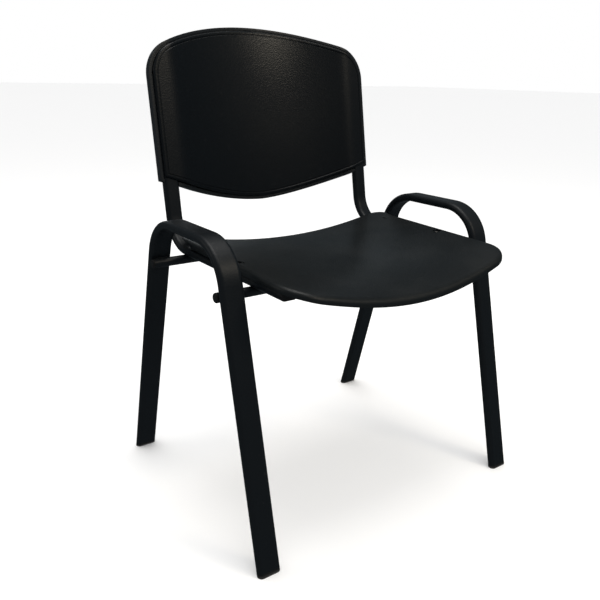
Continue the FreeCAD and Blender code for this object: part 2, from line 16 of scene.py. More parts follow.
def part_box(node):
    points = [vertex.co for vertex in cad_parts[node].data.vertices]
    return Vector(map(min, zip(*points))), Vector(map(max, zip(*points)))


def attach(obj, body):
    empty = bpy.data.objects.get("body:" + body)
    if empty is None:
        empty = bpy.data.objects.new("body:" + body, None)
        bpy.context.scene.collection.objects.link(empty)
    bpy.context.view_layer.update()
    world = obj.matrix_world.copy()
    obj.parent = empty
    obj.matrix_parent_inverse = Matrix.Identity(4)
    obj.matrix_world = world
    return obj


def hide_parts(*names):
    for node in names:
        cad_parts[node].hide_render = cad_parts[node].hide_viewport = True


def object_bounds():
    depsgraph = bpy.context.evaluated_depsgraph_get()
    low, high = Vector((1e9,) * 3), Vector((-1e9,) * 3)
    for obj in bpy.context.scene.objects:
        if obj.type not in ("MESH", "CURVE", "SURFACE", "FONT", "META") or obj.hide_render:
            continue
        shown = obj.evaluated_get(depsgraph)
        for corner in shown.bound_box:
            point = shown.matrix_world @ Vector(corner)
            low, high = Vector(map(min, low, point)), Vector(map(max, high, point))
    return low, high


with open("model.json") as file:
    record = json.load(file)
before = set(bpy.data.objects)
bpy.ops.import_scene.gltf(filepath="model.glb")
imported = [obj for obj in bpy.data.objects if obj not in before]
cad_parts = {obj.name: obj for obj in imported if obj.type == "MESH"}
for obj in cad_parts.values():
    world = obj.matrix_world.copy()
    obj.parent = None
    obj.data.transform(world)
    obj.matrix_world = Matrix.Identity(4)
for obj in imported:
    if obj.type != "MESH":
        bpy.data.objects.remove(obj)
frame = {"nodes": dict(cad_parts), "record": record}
cad_low, cad_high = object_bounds()
random.seed(7)
print("chair box", [round(high - low, 4) for low, high in zip(cad_low, cad_high)])

# %% [markdown]
# ## Finishes as formulas
# A finish is built from noise, masks and slopes. Wiring those by hand hides the idea, so one small
# class wraps a socket. Adding, multiplying and the rest then read as ordinary arithmetic, and each
# operator adds one Math node.

# %% A socket that does arithmetic


class Flow:
    """One output socket of a material, with arithmetic on it."""

    def __init__(self, tree, socket):
        self.tree = tree
        self.socket = socket

    def math(self, operation, *others, swap=False):
        inputs = [self, *others]
        if swap:
            inputs.reverse()
        return self.tree.node("ShaderNodeMath", {"operation": operation}, dict(enumerate(inputs)))

    def __add__(self, other):
        return self.math("ADD", other)

    def __radd__(self, other):
        return self.math("ADD", other)

    def __sub__(self, other):
        return self.math("SUBTRACT", other)

    def __rsub__(self, other):
        return self.math("SUBTRACT", other, swap=True)

    def __mul__(self, other):
        return self.math("MULTIPLY", other)

    def __rmul__(self, other):
        return self.math("MULTIPLY", other)

    def __truediv__(self, other):
        return self.math("DIVIDE", other)

    def __pow__(self, other):
        return self.math("POWER", other)

    def between(self, low, high):
        """0 below low, 1 above high, smooth in between."""
        settings = {"interpolation_type": "SMOOTHSTEP"}
        return self.tree.node("ShaderNodeMapRange", settings, {0: self, 1: low, 2: high})


class Wiring:
    """A node tree, and the one method through which every node of it is made."""

    def __init__(self, tree):
        self.nodes = tree.nodes
        self.links = tree.links

    def node(self, kind, settings=None, inputs=None, output=0):
        made = self.nodes.new(kind)
        for name, value in (settings or {}).items():
            if name == "stops":
                for stop, (place, tone) in zip(made.color_ramp.elements, value):
                    stop.position = place
                    stop.color = tone
            else:
                setattr(made, name, value)
        self.feed(made, inputs or {})
        return Flow(self, made.outputs[output])

    def feed(self, node, inputs):
        for name, value in inputs.items():
            if isinstance(value, Flow):
                self.links.new(value.socket, node.inputs[name])
            else:
                node.inputs[name].default_value = value


class Finish(Wiring):
    """A material and its Principled shader."""

    def __init__(self, name):
        self.material = bpy.data.materials.new(name)
        self.material.use_nodes = True
        super().__init__(self.material.node_tree)
        self.shader = self.nodes["Principled BSDF"]

    def place(self):
        """Position on the piece, in metres."""
        return self.node("ShaderNodeTexCoord", output="Object")

    def axis(self, vector, letter):
        return self.node("ShaderNodeSeparateXYZ", {}, {0: vector}, output=letter)

    def noise(self, size, detail=2.0, roughness=0.5, where=None):
        """Soft cloudy noise whose blobs are about `size` metres across."""
        inputs = {"Vector": where or self.place(), "Scale": 1 / size, "Detail": detail,
                  "Roughness": roughness}
        return self.node("ShaderNodeTexNoise", {}, inputs)

    def grain(self, size):
        """Distance to the nearest pebble centre, pebbles about `size` metres across."""
        inputs = {"Vector": self.place(), "Scale": 1 / size, "Randomness": 1.0}
        return self.node("ShaderNodeTexVoronoi", {"feature": "SMOOTH_F1"}, inputs)

    def mix(self, share, first, second):
        settings = {"data_type": "RGBA"}
        return self.node("ShaderNodeMix", settings, {0: share, 6: first, 7: second}, output=2)

    def bump(self, height, depth, under=None):
        """Normal of a relief `depth` metres deep."""
        inputs = {"Height": height, "Distance": depth, "Strength": 1.0}
        if under:
            inputs["Normal"] = under
        return self.node("ShaderNodeBump", {}, inputs)

    def upward(self):
        """1 where the surface looks at the ceiling, 0 where it is upright or looks down."""
        normal = self.node("ShaderNodeNewGeometry", output="Normal")
        return self.axis(normal, "Z").between(0.2, 1.0)

    def set(self, **sockets):
        named = {name.replace("_", " "): value for name, value in sockets.items()}
        self.feed(self.shader, named)
        return self.material


# %% [markdown]
# ## The plastic of the seat and the back
# The mouldings are black polypropylene with a fine pebble grain etched into the mould. Where people
# sit, and where hands pull the chair out by the top of the back, the tops of the pebbles are
# polished, so the surface is a little shinier there.
# Dust settles on what looks up. Scuffs are long thin noise, stretched along one direction.

# %% Moulded plastic


def moulded_plastic(name, black, sheen_level, polish_centre, polish_reach, polish_depth):
    finish = Finish(name)
    pebbles = finish.grain(0.0018)
    clouds = finish.noise(0.09, detail=3.0)
    fine = finish.noise(0.012, detail=4.0, roughness=0.6)
    stretched = finish.node("ShaderNodeMapping", {}, {"Vector": finish.place(),
                                                      "Rotation": (0.0, 0.0, 0.5),
                                                      "Scale": (1.0, 14.0, 3.0)})
    scuffs = finish.noise(0.05, detail=5.0, roughness=0.7, where=stretched).between(0.60, 0.78)
    offset = finish.node("ShaderNodeVectorMath", {"operation": "DISTANCE"},
                         {0: finish.place(), 1: polish_centre}, output="Value")
    polished = 1 - offset.between(polish_reach * 0.3, polish_reach)
    dust = finish.upward() * clouds.between(0.35, 0.75)
    colour = finish.mix(dust * 0.5 + scuffs * 0.35, black, (0.0120, 0.0130, 0.0130, 1.0))
    sheen = sheen_level + fine * 0.08 + scuffs * 0.08 - polished * polish_depth
    relief = pebbles + fine * 0.15
    finish.set(Base_Color=colour, Roughness=sheen, Normal=finish.bump(relief, 0.00022),
               Specular_IOR_Level=0.32)
    return finish.material


seat_plastic = moulded_plastic("seat_plastic", (0.0034, 0.0050, 0.0058, 1.0), 0.38,
                               (0.0, -0.06, 0.44), 0.26, 0.06)
# Painted shade: the back panel's black is darker than the seat's, to stand for the shade the back is
# in.
back_plastic_painted_shade = moulded_plastic("back_plastic_painted_shade", (0.0012, 0.0024, 0.0038, 1.0), 0.34,
                               (0.050, 0.24, 0.765), 0.16, 0.08)
# Painted light: the tray's black is lighter than the seat's, to stand for the light its rounded rim
# catches.
tray_plastic_painted_light = moulded_plastic("tray_plastic_painted_light", (0.0062, 0.0078, 0.0094, 1.0), 0.38,
                               (0.0, 0.25, 0.80), 0.14, 0.05)
print("made", seat_plastic.name, back_plastic_painted_shade.name, tray_plastic_painted_light.name)

# %% [markdown]
# ## The powder coat on the tubes
# Powder coat is sprayed on dry and melted, so it has a faint orange peel: rounded waves two or three
# millimetres across. The legs get knocked by shoes and by other chairs, so a few small nicks near
# the floor are lighter and rougher.

# %% Powder coat


def powder_coat(name):
    finish = Finish(name)
    peel = finish.noise(0.0026, detail=1.0)
    clouds = finish.noise(0.11, detail=3.0)
    fine = finish.noise(0.006, detail=3.0)
    height = finish.axis(finish.place(), "Z")
    low = 1 - height.between(0.05, 0.30)
    nicks = finish.noise(0.009, detail=4.0, roughness=0.65).between(0.66, 0.72) * low
    dust = finish.upward() * clouds.between(0.3, 0.8)
    colour = finish.mix(dust * 0.45 + nicks * 0.8, (0.0024, 0.0044, 0.0064, 1.0),
                        (0.0160, 0.0170, 0.0180, 1.0))
    sheen = 0.36 + fine * 0.10 + clouds * 0.06 + nicks * 0.25
    finish.set(Base_Color=colour, Roughness=sheen, Normal=finish.bump(peel, 0.00022),
               Specular_IOR_Level=0.30)
    return finish.material


tube_coat = powder_coat("tube_coat")
print("made", tube_coat.name)

# %% [markdown]
# ## Plugs and feet
# The plugs are smooth polyethylene with a faint flow pattern. The feet are the same plastic, dragged
# over floors for years, so they turn grey and rough in the last few millimetres.

# %% Plug and foot plastic


def plug_plastic(name, wear_top):
    finish = Finish(name)
    flow = finish.noise(0.004, detail=3.0)
    scratches = finish.noise(0.0016, detail=5.0, roughness=0.75)
    height = finish.axis(finish.place(), "Z")
    worn = (1 - height.between(0.0, wear_top)) * (0.55 + scratches * 0.45)
    colour = finish.mix(worn, (0.0042, 0.0043, 0.0046, 1.0), (0.045, 0.044, 0.042, 1.0))
    sheen = 0.46 + flow * 0.12 + worn * 0.25
    finish.set(Base_Color=colour, Roughness=sheen,
               Normal=finish.bump(flow + scratches * worn, 0.00012), Specular_IOR_Level=0.28)
    return finish.material


end_plug_plastic = plug_plastic("end_plug_plastic", 0.0001)
foot_plastic = plug_plastic("foot_plastic", 0.006)
print("made", end_plug_plastic.name, foot_plastic.name)

# %% [markdown]
# ## Blackened screws
# The screws are steel with a black oxide skin: a dark metal, a little brown where hands and keys
# have rubbed it, with fine turning marks.

# %% Blackened steel


def black_oxide(name):
    finish = Finish(name)
    cloud = finish.noise(0.003, detail=4.0)
    marks = finish.noise(0.0007, detail=2.0)
    colour = finish.mix(cloud, (0.050, 0.050, 0.054, 1.0), (0.095, 0.088, 0.080, 1.0))
    finish.set(Base_Color=colour, Metallic=1.0, Roughness=0.26 + marks * 0.15,
               Normal=finish.bump(marks, 0.00004))
    return finish.material


screw_black = black_oxide("screw_black")

# %% [markdown]
# ## Dress the CAD pieces
# The tubes and plugs are right as they came, so they only need their finish.

# %% Give each CAD piece its finish
finish_of_slot = {"black_tube": tube_coat, "shell_plastic": seat_plastic,
                  "plug_plastic": end_plug_plastic, "foot_plastic": foot_plastic,
                  "screw_steel": screw_black}
slot_of_node = {row["node"]: row["material_slot"] for row in frame["record"]["subparts"]}


def dress(piece, material):
    piece.data.materials.clear()
    piece.data.materials.append(material)


for node_name, node in frame["nodes"].items():
    dress(node, finish_of_slot[slot_of_node[node_name]])
dress(frame["nodes"]["back_front_shell"], back_plastic_painted_shade)
dress(frame["nodes"]["back_rear_shell"], tray_plastic_painted_light)
print("dressed", len(frame["nodes"]), "pieces")

# %% [markdown]
# ## Drawing an outline with operators
# The seat and the back start as flat outlines made of arcs that run smoothly into one another.
# A single corner is enough to begin with: spin swings it about a hub and leaves an arc behind it,
# and extrude pulls a straight edge out of it. Only the right half is drawn. Mirror makes the left
# half and welds the two, so the outline is exactly symmetric.

# %% Arcs and straight lines from one corner


def straight_to(bm, corner, x, y):
    """Pull an edge out of `corner`; returns its new end."""
    end = bmesh.ops.extrude_vert_indiv(bm, verts=[corner])["verts"][0]
    end.co = (x, y, 0.0)
    return end


def swing(bm, corner, hub, degrees, steps):
    """Swing `corner` about `hub`, anticlockwise seen from above; returns the far end of the arc."""
    arc = bmesh.ops.spin(bm, geom=[corner], cent=(*hub, 0.0), axis=(0.0, 0.0, 1.0),
                         angle=math.radians(degrees), steps=steps, use_duplicate=False)
    return next(part for part in arc["geom_last"] if isinstance(part, bmesh.types.BMVert))


def crowned_end(bm, half_width, tip, inward, radius, corner_radius, steps):
    """Half of an arched end: from the centre line at `tip`, round the corner, to the side.

    `inward` is +1 where the outline lies beyond the tip along +Y, and -1 where it lies below it.
    """
    corner_x = half_width - corner_radius
    hub_reach = math.sqrt((radius - corner_radius) ** 2 - corner_x ** 2)
    arch_angle = math.degrees(math.atan2(corner_x, hub_reach))
    start = bmesh.ops.create_vert(bm, co=(0.0, tip, 0.0))["vert"][0]
    shoulder = swing(bm, start, (0.0, tip + inward * radius), inward * arch_angle, steps)
    corner_hub = (corner_x, tip + inward * (radius - hub_reach))
    return swing(bm, shoulder, corner_hub, inward * (90.0 - arch_angle), steps)


def close_outline(bm):
    """Mirror the right half, weld the two halves and fill them with one flat face."""
    bmesh.ops.mirror(bm, geom=bm.verts[:] + bm.edges[:], axis="X", merge_dist=1e-5)
    bmesh.ops.remove_doubles(bm, verts=bm.verts[:], dist=1e-6)
    face = bmesh.ops.contextual_create(bm, geom=bm.edges[:])["faces"][0]
    face.normal_update()
    if face.normal.z < 0:
        face.normal_flip()
    return face


# %% [markdown]
# ## Rounding an edge before the sheet is bent
# On a flat face, inset makes rings that follow the outline. Each ring remembers how deep it will
# lie once the sheet is bent, in a number stored on its corners. A rounded edge is then a list of
# steps inward and depths, and so is a groove.

# %% Rings and a grid


def rounded_steps(radius, steps):
    """Steps inward and depths of a quarter circle, from the upright edge to the flat face."""
    turns = [math.radians(90.0 * step / steps) for step in range(steps + 1)]
    return [(radius * (1 - math.cos(turn)), radius * (1 - math.sin(turn))) for turn in turns]


def add_rings(bm, face, profile, depth_layer):
    """Inset the face once for each step of the profile; the face ends up innermost."""
    reached = 0.0
    for inset, depth in profile:
        if inset > reached:
            bmesh.ops.inset_region(bm, faces=[face], thickness=inset - reached,
                                   use_even_offset=True, use_boundary=True)
            reached = inset
        for corner in face.verts:
            corner[depth_layer] = depth


def slice_faces(bm, faces, direction, low, high, pitch):
    """Cut faces into strips of about `pitch`, across `direction`."""
    count = max(1, round((high - low) / pitch))
    for step in range(1, count):
        edges = {edge for face in faces for edge in face.edges}
        corners = {corner for face in faces for corner in face.verts}
        place = direction * (low + (high - low) * step / count)
        cut = bmesh.ops.bisect_plane(bm, geom=[*faces, *edges, *corners], dist=1e-6,
                                     plane_co=place, plane_no=direction)
        faces = [part for part in cut["geom"] if isinstance(part, bmesh.types.BMFace)]
    return faces


def face_outwards(bm, outward):
    """Make the faces agree, and turn them all if most of the sheet looks the wrong way."""
    bmesh.ops.recalc_face_normals(bm, faces=bm.faces[:])
    bm.normal_update()
    looking = sum((face.normal * face.calc_area() for face in bm.faces), Vector())
    if looking.dot(Vector(outward)) < 0:
        bmesh.ops.reverse_faces(bm, faces=bm.faces[:])


def turn_down_edge(bm, depth_layer, depth):
    """Extrude the open edge of the sheet; the new corners get their own depth."""
    rim = [edge for edge in bm.edges if edge.is_boundary]
    grown = bmesh.ops.extrude_edge_only(bm, edges=rim)["geom"]
    corners = [part for part in grown if isinstance(part, bmesh.types.BMVert)]
    for corner in corners:
        corner[depth_layer] = depth
    return corners


# %% [markdown]
# ## From a bmesh to a finished piece
# Solidify gives a sheet its wall and Boolean drills it. Both are settled at once into a plain mesh,
# so nothing stays behind that a cutter could still change. Edges sharper than 35 degrees stay crisp.

# %% Objects, walls and holes
sharp_edge = math.radians(35.0)


def object_from(bm, name):
    mesh = bpy.data.meshes.new(name)
    bm.to_mesh(mesh)
    bm.free()
    made = bpy.data.objects.new(name, mesh)
    bpy.context.scene.collection.objects.link(made)
    return made


def settle(piece):
    """Replace a piece's mesh by what its modifiers make of it."""
    depsgraph = bpy.context.evaluated_depsgraph_get()
    settled = bpy.data.meshes.new_from_object(piece.evaluated_get(depsgraph))
    piece.modifiers.clear()
    piece.data = settled


def thicken(piece, wall, side):
    """Give a sheet its wall; side -1 grows it behind the faces, +1 in front of them."""
    modifier = piece.modifiers.new("wall", "SOLIDIFY")
    modifier.thickness = wall
    modifier.offset = side
    modifier.use_even_offset = True
    settle(piece)


def carve(piece, tools, operation="DIFFERENCE"):
    """Cut or join a piece with tool objects, which are then thrown away."""
    for tool in tools:
        modifier = piece.modifiers.new("carve", "BOOLEAN")
        modifier.operation = operation
        modifier.solver = "EXACT"
        modifier.object = tool
        settle(piece)
        bpy.data.objects.remove(tool)


def soften(piece, width, segments=2):
    """Break the sharp edges of a piece."""
    modifier = piece.modifiers.new("edges", "BEVEL")
    modifier.width = width
    modifier.segments = segments
    modifier.limit_method = "ANGLE"
    modifier.angle_limit = sharp_edge
    modifier.harden_normals = False
    settle(piece)


def finish_piece(piece, material, slot_name, *nodes):
    """Smooth shading, finish, the body it rides on and the nodes it stands for. slot_name is not
    used.
    """
    dress(piece, material)
    piece.data.shade_smooth()
    piece.data.set_sharp_from_angle(angle=sharp_edge)
    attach(piece, "root")
    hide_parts(*nodes)
    print(piece.name, len(piece.data.polygons), "faces")


# %% [markdown]
# ## The seat
# The real seat is one moulding: a shallow dish that falls away under the thighs, with its edge
# rolled over and down so that no corner presses into the leg. It could be sculpted by hand, but a
# height worked out from the place on the sheet keeps it exactly as wide and as deep as the CAD seat.

# %% Seat surface
MM = 0.001
seat_low, seat_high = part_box("seat_shell")
seat_half_width = seat_high.x
seat_front = seat_low.y
seat_rear = seat_high.y
run_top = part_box("cross_rail_front")[1].z + 15.0 * MM
seat_front_corner = 58.0 * MM
seat_rear_corner = 30.0 * MM
seat_crest = seat_front + 168.0 * MM
seat_rim_end = seat_rear - 55.0 * MM
thigh_x = 95.0 * MM
thigh_y = seat_front + 190.0 * MM
thigh_dip = 1.6 * MM


def seat_height(x, y):
    """Height of the seat's upper surface."""
    if y < seat_crest:
        share = (seat_crest - y) / (seat_crest - seat_front)
        middle = run_top - 7.0 * MM - 23.5 * MM * share ** 3
    else:
        share = (y - seat_crest) / (seat_rear - seat_crest)
        middle = run_top - 7.0 * MM - 3.5 * MM * share ** 2
    corner_y = seat_front + seat_front_corner
    side = run_top + 9.5 * MM + 9.0 * MM * (y - corner_y) / (seat_rear - corner_y)
    dished = middle + (side - middle) * (x / seat_half_width) ** 2
    beside = (abs(x) - thigh_x) / (55.0 * MM)
    ahead = (y - thigh_y) / (110.0 * MM)
    return dished - thigh_dip * math.exp(-beside ** 2 - ahead ** 2)


def toward_rear(y):
    """0 along the front and the sides of the seat, 1 at its rear edge."""
    share = (y - seat_rim_end) / (seat_rear - seat_rear_corner - seat_rim_end)
    share = min(1.0, max(0.0, share))
    return share * share * (3 - 2 * share)


def lip_drop(y):
    """How far the rolled edge falls before it stands upright."""
    return (8.5 - 7.0 * toward_rear(y)) * MM


def rim_drop(y):
    """Depth of the whole rim."""
    return (11.5 - 8.2 * toward_rear(y)) * MM


# %% Seat sheet
bm = bmesh.new()
side_end = crowned_end(bm, seat_half_width, seat_front, 1, 1400.0 * MM, seat_front_corner, 20)
side_start = straight_to(bm, side_end, seat_half_width, seat_rear - seat_rear_corner)
rear_hub = (seat_half_width - seat_rear_corner, seat_rear - seat_rear_corner)
rear_end = swing(bm, side_start, rear_hub, 90.0, 8)
straight_to(bm, rear_end, 0.0, seat_rear)
seat_face = close_outline(bm)
drop = bm.verts.layers.float.new("drop")
lip_steps = [(inset, depth / (9.0 * MM)) for inset, depth in rounded_steps(9.0 * MM, 6)]
lip_steps.append((10.2 * MM, 0.0))
add_rings(bm, seat_face, lip_steps, drop)
strips = slice_faces(bm, bm.faces[:], Vector((1, 0, 0)), -seat_half_width, seat_half_width,
                     14.0 * MM)
slice_faces(bm, strips, Vector((0, 1, 0)), seat_front, seat_rear, 14.0 * MM)
turn_down_edge(bm, drop, 2.0)
for corner in bm.verts:
    x, y, _ = corner.co
    fall = rim_drop(y) if corner[drop] > 1.5 else corner[drop] * lip_drop(y)
    corner.co.z = seat_height(x, y) - fall
face_outwards(bm, (0.0, 0.0, 1.0))
seat_pan = object_from(bm, "seat_pan")
thicken(seat_pan, 2.0 * MM, -1)
print("seat sheet", len(seat_pan.data.polygons), "faces")

# %% [markdown]
# ## Screw holes in the seat
# Two pan-head screws hold the seat to the tubes. Each sits in a round recess, and under it a hollow
# post reaches down to the tube. The posts are joined on first, then the recesses are drilled.

# %% Posts and recesses


def upright_rod(name, x, y, low, high, radius, sides=40):
    bm = bmesh.new()
    middle = Matrix.Translation((x, y, (low + high) / 2))
    bmesh.ops.create_cone(bm, cap_ends=True, segments=sides, radius1=radius, radius2=radius,
                          depth=high - low, matrix=middle)
    return object_from(bm, name)


run_low, run_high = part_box("back_frame_right")
run_x = (run_low.x + run_high.x) / 2
screw_low, screw_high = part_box("seat_screws")
screw_y = (screw_low.y + screw_high.y) / 2
bolt_low, bolt_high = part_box("seat_bolts")
bolt_y = (bolt_low.y + bolt_high.y) / 2
recess_floor = seat_height(run_x, screw_y) - 3.6 * MM
for side in (-1, 1):
    posts = [upright_rod("post", side * run_x, y, run_top, seat_height(run_x, y) - 1.2 * MM,
                         10.0 * MM) for y in (screw_y, bolt_y)]
    carve(seat_pan, posts, "UNION")
for side in (-1, 1):
    holes = [upright_rod("recess", side * run_x, screw_y, recess_floor, seat_high.z + 0.01, 7.5 * MM),
             upright_rod("hole", side * run_x, screw_y, run_top - 0.01, seat_high.z, 3.2 * MM),
             upright_rod("hole", side * run_x, bolt_y, run_top - 0.01, bolt_high.z, 3.2 * MM)]
    carve(seat_pan, holes)
finish_piece(seat_pan, seat_plastic, "shell_plastic", "seat_shell")

# %% [markdown]
# ## The backrest
# The backrest is two mouldings, one nested in the other. The front panel stands a few millimetres
# proud of the rear tray, and a narrow dark gap runs between them. Both are drawn flat, as seen from
# the front, then bent: flat over the two uprights, hollow in the middle, and leaning back.

# %% Bending a flat drawing into the backrest
back_rake = math.radians(9.65)
back_sag = 54.0 * MM
back_blend = 40.0 * MM
back_belly = 50.5 * MM
panel_front = -11.0 * MM
tray_half_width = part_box("back_rear_shell")[1].x
back_flat = run_x - 15.0 * MM
back_radius = (back_flat ** 2 + back_sag ** 2) / (2 * back_sag) - back_blend
join_turn = math.asin(back_flat / (back_radius + back_blend))
side_corner_z = 549.5 * MM
run_axis_z = run_top - 7.5 * MM
frame_slide = seat_front + 228.0 * MM
side_corner_y = frame_slide + 182.5 * MM + (side_corner_z - run_axis_z) * math.tan(back_rake)
crown_up = (cad_high.z - side_corner_z + (back_sag + panel_front + 5.0 * MM) * math.sin(back_rake))
crown_up /= math.cos(back_rake)
lean_back = Matrix.Translation((0.0, side_corner_y, side_corner_z))
lean_back = lean_back @ Matrix.Rotation(-back_rake, 4, "X")


def back_surface(x, depth):
    """Distance behind the tube axis, `depth` behind the panel's face, at `x` from the middle."""
    reach = abs(x)
    join = (back_radius + depth) * math.sin(join_turn)
    if reach <= join:
        return panel_front + back_sag - back_radius + math.sqrt((back_radius + depth) ** 2 - x * x)
    if reach < back_flat:
        ease = back_blend - depth
        return panel_front + back_blend - math.sqrt(ease ** 2 - (back_flat - reach) ** 2)
    return panel_front + depth


def bend_back(bm, depth_layer, crown=0.0):
    """Turn the flat drawing upright, bend it and lean it back.

    `crown` is how far the middle of the sheet swells forward; it dies away towards the edge.
    """
    middle = (crown_up - back_belly) / 2
    reach_up = (crown_up + back_belly) / 2
    for corner in bm.verts:
        x, up, _ = corner.co
        across = max(0.0, 1 - (x / back_flat) ** 2)
        along = max(0.0, 1 - ((up - middle) / reach_up) ** 2)
        swell = crown * across * along
        corner.co = lean_back @ Vector((x, back_surface(x, corner[depth_layer]) - swell, up))


def back_drawing(bm, inset):
    """Flat front view of the backrest, `inset` inside the tray's outline."""
    half_width = tray_half_width - inset
    side_end = crowned_end(bm, half_width, crown_up - inset, -1, 509.0 * MM - inset,
                           65.0 * MM - inset, 20)
    corner = straight_to(bm, side_end, half_width, inset)
    steps = 24
    for step in range(steps - 1, -1, -1):
        share = step / steps
        corner = straight_to(bm, corner, half_width * share, inset - back_belly * (1 - share ** 1.6))
    return close_outline(bm)


def cut_for_bending(bm):
    """Upright strips narrow enough to bend smoothly, and a few level cuts."""
    strips = slice_faces(bm, bm.faces[:], Vector((1, 0, 0)), -tray_half_width, tray_half_width,
                         9.0 * MM)
    slice_faces(bm, strips, Vector((0, 1, 0)), -0.06, 0.30, 40.0 * MM)


# %% [markdown]
# ### Front panel
# Its edge is rounded and turned back into the tray. A shallow groove follows the edge seven
# millimetres inside it: the toolmaker puts it there to hide small differences in the edge. A plain
# ring on each side of the groove holds the flat faces flat, so they shade evenly.

# %% Front panel
bm = bmesh.new()
panel_face = back_drawing(bm, 7.0 * MM)
depth = bm.verts.layers.float.new("depth")
groove = [(4.4, 0.0), (5.6, 0.0), (6.0, 0.3), (6.6, 0.9), (7.5, 0.9), (8.1, 0.3), (8.5, 0.0),
          (9.3, 0.0)]
panel_profile = rounded_steps(3.6 * MM, 5) + [(inset * MM, deep * MM) for inset, deep in groove]
add_rings(bm, panel_face, panel_profile, depth)
cut_for_bending(bm)
turn_down_edge(bm, depth, 6.5 * MM)
bend_back(bm, depth, crown=4.0 * MM)
face_outwards(bm, (0.0, -1.0, 0.0))
back_panel = object_from(bm, "back_panel")

# %% Rear tray
bm = bmesh.new()
tray_face = back_drawing(bm, 0.0)
depth = bm.verts.layers.float.new("depth")
tray_depth = 23.0 * MM
tray_profile = [(inset, tray_depth - deep) for inset, deep in rounded_steps(6.0 * MM, 5)]
tray_profile.append((7.0 * MM, tray_depth))
add_rings(bm, tray_face, tray_profile, depth)
cut_for_bending(bm)
turn_down_edge(bm, depth, 5.0 * MM)
bend_back(bm, depth)
face_outwards(bm, (0.0, 1.0, 0.0))
back_tray = object_from(bm, "back_tray")

# %% Ledge inside the tray
bm = bmesh.new()
ledge_face = back_drawing(bm, 1.5 * MM)
depth = bm.verts.layers.float.new("depth")
add_rings(bm, ledge_face, [(0.0, 5.8 * MM), (5.2 * MM, 5.8 * MM)], depth)
bmesh.ops.delete(bm, geom=[ledge_face], context="FACES_ONLY")
cut_for_bending(bm)
bend_back(bm, depth)
face_outwards(bm, (0.0, -1.0, 0.0))
ledge = object_from(bm, "ledge")
thicken(ledge, 2.0 * MM, -1)

# %% [markdown]
# ### Holes for the uprights and the screws
# The uprights enter through the lower edges of both mouldings, and two screws from behind hold the
# tray to them. Round posts inside the tray meet the tubes, so the screws can pull tight.

# %% Walls, passages and recesses in the backrest


def oval_bar(name, wide, thin, low, high, placing):
    """Flat-oval bar along Z, from low to high, then placed."""
    bm = bmesh.new()
    sides = 32
    bmesh.ops.create_circle(bm, cap_ends=True, segments=sides, radius=thin / 2,
                            matrix=Matrix.Rotation(math.pi / sides, 4, "Z"))
    for corner in bm.verts:
        corner.co.x += math.copysign((wide - thin) / 2, corner.co.x)
        corner.co.z = low
    grown = bmesh.ops.extrude_face_region(bm, geom=bm.faces[:])["geom"]
    top = [part for part in grown if isinstance(part, bmesh.types.BMVert)]
    bmesh.ops.translate(bm, verts=top, vec=(0.0, 0.0, high - low))
    bmesh.ops.recalc_face_normals(bm, faces=bm.faces[:])
    bmesh.ops.transform(bm, matrix=placing, verts=bm.verts[:])
    return object_from(bm, name)


def rearward_rod(name, x, up, near, far, radius):
    """Round rod square to the backrest, between two distances behind the tube axis."""
    bm = bmesh.new()
    middle = Matrix.Translation((x, (near + far) / 2, up)) @ Matrix.Rotation(math.pi / 2, 4, "X")
    bmesh.ops.create_cone(bm, cap_ends=True, segments=40, radius1=radius, radius2=radius,
                          depth=far - near, matrix=lean_back @ middle)
    return object_from(bm, name)


back_screw_up = 40.0 * MM
back_screw_seat = 9.1 * MM
thicken(back_panel, 1.8 * MM, -1)
thicken(back_tray, 5.0 * MM, -1)
soften(back_tray, 0.9 * MM, 3)
carve(back_tray, [ledge], "UNION")
tray_back = panel_front + tray_depth
for side in (-1, 1):
    upright_side = lean_back @ Matrix.Translation((side * run_x, 0.0, 0.0))
    for piece in (back_panel, back_tray):
        carve(piece, [oval_bar("passage", 31.6 * MM, 16.6 * MM, -0.1, 0.188, upright_side)])
for side in (-1, 1):
    carve(back_tray, [rearward_rod("post", side * run_x, back_screw_up, 7.6 * MM,
                                   tray_back - 0.8 * MM, 10.0 * MM)], "UNION")
for side in (-1, 1):
    carve(back_tray, [
        rearward_rod("recess", side * run_x, back_screw_up, back_screw_seat, 0.04, 7.5 * MM),
        rearward_rod("hole", side * run_x, back_screw_up, 0.0, 0.03, 2.65 * MM)])
finish_piece(back_panel, back_plastic_painted_shade, "shell_plastic", "back_front_shell")
finish_piece(back_tray, tray_plastic_painted_light, "shell_plastic", "back_rear_shell")

# %% [markdown]
# ## Screws
# A pan-head screw is a turned part, so its outline is drawn once and spun a full turn about its
# axis. The socket for the key is then cut with a six-sided rod.

# %% Pan-head screws


def pan_screw(name, head_radius, head_height, shank_radius, shank_length, key_radius):
    """Screw standing on Z = 0 with its shank below."""
    bm = bmesh.new()
    outline = [(0.0, 1.0), (0.55, 0.98), (0.80, 0.86), (0.95, 0.62), (1.0, 0.34), (1.0, 0.0)]
    points = [(share * head_radius, up * head_height) for share, up in outline]
    points += [(shank_radius, 0.0), (shank_radius, 1.0 * MM - shank_length),
               (shank_radius * 0.6, -shank_length), (0.0, -shank_length)]
    corner = bmesh.ops.create_vert(bm, co=(0.0, 0.0, points[0][1]))["vert"][0]
    for across, up in points[1:]:
        corner = bmesh.ops.extrude_vert_indiv(bm, verts=[corner])["verts"][0]
        corner.co = (across, 0.0, up)
    bmesh.ops.spin(bm, geom=bm.verts[:] + bm.edges[:], cent=(0.0, 0.0, 0.0),
                   axis=(0.0, 0.0, 1.0), angle=math.tau, steps=32, use_merge=True,
                   use_duplicate=False)
    bmesh.ops.remove_doubles(bm, verts=bm.verts[:], dist=1e-6)
    bmesh.ops.recalc_face_normals(bm, faces=bm.faces[:])
    screw = object_from(bm, name)
    carve(screw, [upright_rod("key", 0.0, 0.0, head_height * 0.42, head_height * 2, key_radius, 6)])
    return screw


